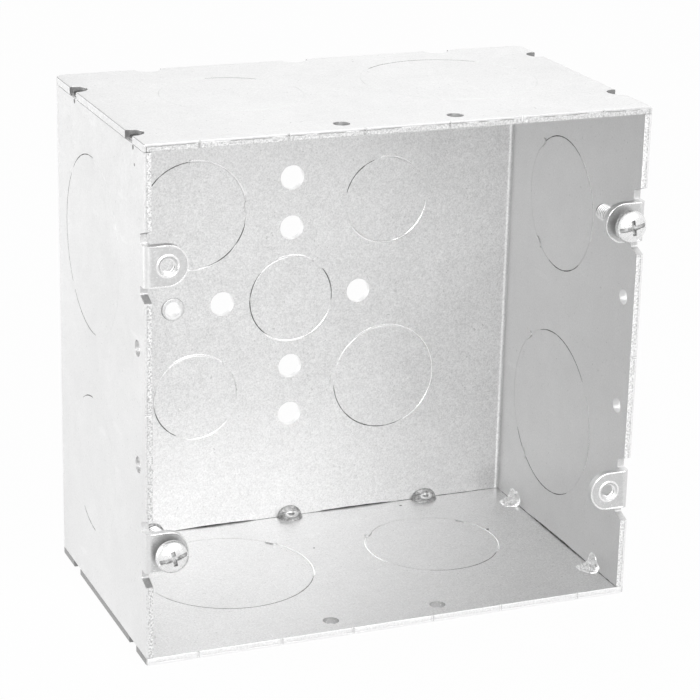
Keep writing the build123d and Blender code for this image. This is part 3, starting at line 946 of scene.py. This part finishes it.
def folded(along, out, seam, wall, plate, height):
    """Folds flat places into a corner. Where out is positive the patch climbs the wall, and where it is
    negative it lies on the plate, with a quarter of a circle between. The height is added along the
    normal."""
    eighth = FILLET * math.pi / 4
    turn = np.clip(math.pi / 4 - out / FILLET, 0.0, math.pi / 2)
    up = FILLET - FILLET * np.sin(turn) + np.maximum(out - eighth, 0.0) + height * np.sin(turn)
    away = FILLET - FILLET * np.cos(turn) + np.maximum(-out - eighth, 0.0) + height * np.cos(turn)
    return along[..., None] * seam + up[..., None] * wall + away[..., None] * plate


def weld_patch(middle, seam, wall, plate, crater, seed):
    """A closed patch on a polar table. Its border is an oval that wanders in and out. Its height is a
    cover that is thickest over the corner, plus the rim of a crater or torn lumps, and it runs out at the
    border."""
    size = CRATER if crater else SPLASH
    angle = np.linspace(0.0, 2.0 * np.pi, PATCH_SPOKES, endpoint=False)
    far = np.linspace(0.0, 1.0, PATCH_RINGS) ** 0.85
    turn, reach = np.meshgrid(angle, far, indexing="ij")
    cos, sin = np.cos(turn), np.sin(turn)
    ripple = [wander(way * 3.0, seed + n, finest=size["finest"]) for n, way in enumerate((cos, sin))]
    border = 1.0 + size["ragged"] * (ripple[0] + ripple[1])
    along = size["half_length"] * reach * border * cos
    out = np.where(sin > 0.0, size["up_wall"], size["on_plate"]) * reach * border * sin
    cover = 0.10 + (0.30 + 0.52 * np.exp(-(out / 1.6) ** 2)) * np.clip(1.0 - (along / 3.6) ** 4, 0.0, 1.0)
    lumps = wander(along * 2.0, seed + 2, finest=2.4) * wander(out * 2.3, seed + 3, finest=2.4)
    if crater:
        shift = np.hypot(cos * reach - 0.10, sin * reach + 0.12)
        rim = 0.34 * np.exp(-((shift - 0.72) / 0.13) ** 2) * (1.0 + 0.5 * lumps)
        bowl = 0.16 * np.exp(-((shift - 0.42) / 0.16) ** 2)
        peak = 0.22 * np.exp(-(shift / 0.16) ** 2)
        relief = rim - bowl + peak + 0.05 * lumps
    else:
        slanted = wander(along * 3.0 + out * 2.0, seed + 4, finest=2.4)
        shards = np.abs(slanted * wander(out * 3.0 - along, seed + 5, finest=2.4))
        relief = 0.38 * shards + 0.2 * np.maximum(lumps, -0.2)
    edge = np.clip((1.0 - reach) / size["edge"], 0.0, 1.0)
    height = np.maximum(cover + relief, 0.06) * np.sqrt(edge * (2.0 - edge)) - 0.03
    top = folded(along, out, seam, wall, plate, height)
    bottom = folded(along, out, seam, wall, plate, np.full_like(height, -PATCH_SUNK))
    table = np.concatenate([top, bottom[:, ::-1]], 1) + middle
    rows, columns, _ = table.shape
    return table.reshape(-1, 3), strip_faces(rows, columns, True, False).tolist()


print("a patch is folded into a corner")

# %% [markdown]
# Each weld's patch is placed by the middle of its own node. The name of the node says whether it is
# at the top or the bottom, and at the back or at a side.

# %% A splash for every weld
def weld_patches():
    """One patch for each weld, placed by the middle of the weld's own node."""
    for number, name in enumerate(welds):
        middle = middle_of(name)
        way = 1.0 if "_top_" in name else -1.0
        wall = np.array((0.0, 0.0, -way))
        at_back = "_back_" in name
        if at_back:
            spot = np.array((middle[0], -SHEET, way * INSIDE))
            seam, plate = np.array((1.0, 0.0, 0.0)), np.array((0.0, -1.0, 0.0))
        else:
            side = 1.0 if "_right_" in name else -1.0
            spot = np.array((side * INSIDE, middle[1], way * INSIDE))
            seam, plate = np.array((0.0, 1.0, 0.0)), np.array((-side, 0.0, 0.0))
        patch = weld_patch(spot, seam, wall, plate, at_back, SEED + 300 + 10 * number)
        metal = crater_metal if at_back else splash_metal
        make_piece("splash_of_" + name, [patch], metal)


def frozen_metal(name, dark, light, roughness, metallic):
    """Frozen weld metal: soot and bright spots in patches, with a fine pitted skin."""
    board = Board(name)
    place = board.place()
    patch = board.noise(place, 1.0, detail=3.0, rough=0.65)
    pitted = board.noise(place, 0.35, detail=2.0)
    color = board.blend((patch * 2.4 + (pitted - 0.5) * 0.8 - 0.7).clamp(), tone(dark), tone(light))
    rough = (roughness + (patch - 0.5) * 0.3).clamp()
    normal = board.bump(pitted * 0.5 + patch, 0.25, 0.8)
    return board.finish(base_color=color, metallic=metallic, roughness=rough, normal=normal)


crater_metal = frozen_metal("crater_metal", 0.16, 0.72, 0.42, 0.5)
splash_metal = frozen_metal("splash_metal", 0.80, 1.0, 0.30, 0.85)
weld_patches()

# %% [markdown]
# ## Burrs on the ears
# The press leaves a bright rolled edge round each ear, and the tap leaves a ring of burr round its
# hole and a thread in it. Their brightness is a painted highlight. Each is a small profile along a path on
# the ear's face or in its hole.

# %% Ears
HOLE, LIP = 1.75, 2.3
EAR_STRAIGHT = (4.3, 0.25)
EAR_BURR = 0.11
TAP_BURR = 0.13
TAPPED_TURNS = 1.75


def front_bar(x, z, out_x, out_z, profile):
    """A table of points along the rim's plane. The path is given by x and z, and its outward direction
    by out_x and out_z. Each pair of the profile is a shift outward and a height before the plane."""
    rows = []
    for shift, level in profile:
        spot = (x + shift * out_x, RIM - level + np.zeros_like(x), z + shift * out_z)
        rows.append(np.stack(spot, -1))
    return np.stack(rows, 1)


def ear_burr(side, up, seed):
    """The rolled edge: straight along the ear's top, half a circle round its end, and straight back."""
    arc = np.linspace(np.pi / 2, -np.pi / 2, 48)
    straight = np.linspace(*EAR_STRAIGHT, 16)
    still = np.ones_like(straight)
    x = EAR_ACROSS + np.concatenate([straight, -EAR_HALF * np.cos(arc), straight[::-1]])
    z = np.concatenate([EAR_HALF * still, EAR_HALF * np.sin(arc), -EAR_HALF * still])
    out_x = np.concatenate([0.0 * still, -np.cos(arc), 0.0 * still])
    out_z = np.concatenate([still, np.sin(arc), -still])
    worn = np.clip(0.3 + out_z, 0.12, 1.0) if side < 0 else 1.0
    high = EAR_BURR * worn * np.clip(1.0 + 0.3 * wander(np.arange(len(x)) * 0.3, seed, finest=2.0), 0.4, 1.5)
    profile = [(-0.42, -0.02), (-0.28, high * 0.8), (-0.12, high), (0.0, high * 0.2)]
    profile += [(0.01, -0.2), (-0.4, -0.2)]
    return capped_bar(front_bar(side * x, up + z, side * out_x, out_z, profile))


def hole_burr(side, up, seed):
    """The ring round the tapped hole: a ridge between the hole's lip and the flat face, torn by noise."""
    turn = np.linspace(0.0, 2 * np.pi, 72, endpoint=False)
    torn = wander(np.cos(turn) * 4.0, seed, finest=2.0) * wander(np.sin(turn) * 4.0, seed + 1, finest=2.0)
    high = TAP_BURR * np.clip(1.0 + 0.9 * torn, 0.2, 1.9)
    profile = [(LIP - 0.02, -0.1), (LIP + 0.05, high * 0.7), (LIP + 0.2, high)]
    profile += [(LIP + 0.45, 0.4 * high), (LIP + 0.6, -0.03), (LIP + 0.3, -0.2)]
    x, z = np.full_like(turn, side * EAR_ACROSS), np.full_like(turn, up)
    return capped_bar(front_bar(x, z, np.cos(turn), np.sin(turn), profile), closed_path=True)


def tapped_thread(side, up):
    """A ridge inside the hole. Along the helix the angle grows evenly and the depth by one pitch a turn."""
    angle = np.linspace(0.0, 2 * np.pi * TAPPED_TURNS, int(TAPPED_TURNS * TURN_STEPS))
    depth = RIM + 0.4 + angle / (2 * np.pi) * PITCH * 0.85
    rows = []
    for radius, shift in ((HOLE + 0.05, -0.2), (HOLE - 0.2, -0.04), (HOLE - 0.2, 0.04), (HOLE + 0.05, 0.2)):
        across, high = radius * np.cos(angle), radius * np.sin(angle)
        spot = (side * EAR_ACROSS + across, depth + shift * PITCH, up + high)
        rows.append(np.stack(spot, -1))
    return capped_bar(np.stack(rows, 1))


ears = [(side, up) for side in (-1, 1) for up in (EAR_UP, -EAR_UP)]
open_ears = [(-1, EAR_UP), (1, -EAR_UP)]
edges = [ear_burr(side, up, SEED + 600 + number) for number, (side, up) in enumerate(ears)]
rings = [hole_burr(side, up, SEED + 640 + number) for number, (side, up) in enumerate(open_ears)]
# the burrs and the tapped thread are coloured with a painted highlight
make_piece("ear_burrs", edges, painted_highlight_metal)
make_piece("tap_burrs", rings, painted_highlight_metal)
make_piece("tapped_threads", [tapped_thread(*ear) for ear in open_ears], painted_highlight_metal)

# %% [markdown]
# ## Light and backdrop
# The photograph is a cut-out on white, lit so softly that it has no shadow to speak of. A pale floor
# carries a faint one. Floor and world are white to the camera and in reflections. To the light that
# falls on the box itself the floor is pale paint, and the world is nearly dark.

# %% Floor
FLOOR_REACH = 3.0
FLOOR_GAP = 0.0002
FLOOR_GLOW = 0.98


def looked_at(board):
    """1 for rays that look at a surface straight, in a mirror or through glass, and 0 for plain light."""
    path = board.node("ShaderNodeLightPath")
    return (path["Is Camera Ray"] + path["Is Glossy Ray"] + path["Is Transmission Ray"]).clamp()


def plain_floor(height):
    """A wide square under the box, pale to the camera, that keeps the box's shadow."""
    mesh = bpy.data.meshes.new("floor")
    corners = [(-1, -1), (1, -1), (1, 1), (-1, 1)]
    corners = [(x * FLOOR_REACH, y * FLOOR_REACH, height) for x, y in corners]
    mesh.from_pydata(corners, [], [(0, 1, 2, 3)])
    floor = bpy.data.objects.new("floor", mesh)
    bpy.context.collection.objects.link(floor)
    board = Board("pale_floor")
    paint = board.node("ShaderNodeBsdfDiffuse", None, {"Color": tone(0.9)})["BSDF"]
    glow = board.node("ShaderNodeEmission", None, {"Color": tone(1.0), "Strength": 1.0})["Emission"]
    inputs = {0: looked_at(board) * FLOOR_GLOW, 1: paint, 2: glow}
    both = board.node("ShaderNodeMixShader", None, inputs)["Shader"]
    board.node("ShaderNodeOutputMaterial", None, {"Surface": both})
    mesh.materials.append(board.owner)


floor_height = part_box("bottom_plate")[0][2] - FLOOR_GAP
plain_floor(floor_height)
print("floor at", round(floor_height, 4))

# %% [markdown]
# The light comes from four large soft lamps. Two stand in front, one behind on the right for the top
# plate, and one on the left for the left wall.

# %% World and lamps
def white_world(level):
    """White where it is looked at or mirrored, and a plain level of light everywhere else."""
    board = Board("studio", world=True)
    plain = board.node("ShaderNodeBackground", None, {"Color": tone(1.0), "Strength": level})["Background"]
    white = board.node("ShaderNodeBackground", None, {"Color": tone(1.0), "Strength": 1.0})["Background"]
    inputs = {0: looked_at(board), 1: plain, 2: white}
    both = board.node("ShaderNodeMixShader", None, inputs)["Shader"]
    board.node("ShaderNodeOutputWorld", None, {"Surface": both})
    bpy.context.scene.world = board.owner


def lamp(name, place, target, size, power):
    """A square soft lamp that looks at a point, all in metres and watts."""
    data = bpy.data.lights.new(name, "AREA")
    data.shape = "SQUARE"
    data.size = size
    data.energy = power
    made = bpy.data.objects.new(name, data)
    bpy.context.collection.objects.link(made)
    made.location = place
    way = np.array(target) - np.array(place)
    flat = math.hypot(way[0], way[1])
    made.rotation_euler = (math.atan2(flat, -way[2]), 0.0, math.atan2(-way[0], way[1]))


WORLD_LIGHT = 0.02
BOX_MIDDLE = (0.0, -0.0365, 0.0)
white_world(WORLD_LIGHT)
lamp("key_front_right", (0.45, -1.1, 0.85), BOX_MIDDLE, 0.9, 5.0)
lamp("lamp_front_left", (-0.2, -1.3, 0.4), BOX_MIDDLE, 0.8, 6.8)
lamp("lamp_above_behind", (0.5, 0.8, 0.85), BOX_MIDDLE, 0.8, 1.5)
lamp("lamp_left_behind", (-1.0, 0.35, 0.25), BOX_MIDDLE, 0.8, 9.0)
print("lamps are up")

# %% [markdown]
# ## Camera
# The photograph was taken from the left and above. The box's straight edges and holes fix the
# camera: its place in mm, its turn in radians and a lens of about 128 mm on a sensor 36 mm wide.

# %% Camera
CAMERA_PLACE = (-224.50, -584.19, 199.41)
CAMERA_TURN = (1.2412, -0.0219, -0.3845)
LENS = 128.16
SENSOR = 36.0

camera_data = bpy.data.cameras.new("camera")
camera_data.lens = LENS
camera_data.sensor_width = SENSOR
camera_data.clip_start = 0.01
camera = bpy.data.objects.new("camera", camera_data)
bpy.context.collection.objects.link(camera)
camera.location = [value * MM for value in CAMERA_PLACE]
camera.rotation_euler = CAMERA_TURN
bpy.context.scene.camera = camera
bpy.context.scene.view_settings.view_transform = "Standard"
print("lens", LENS)
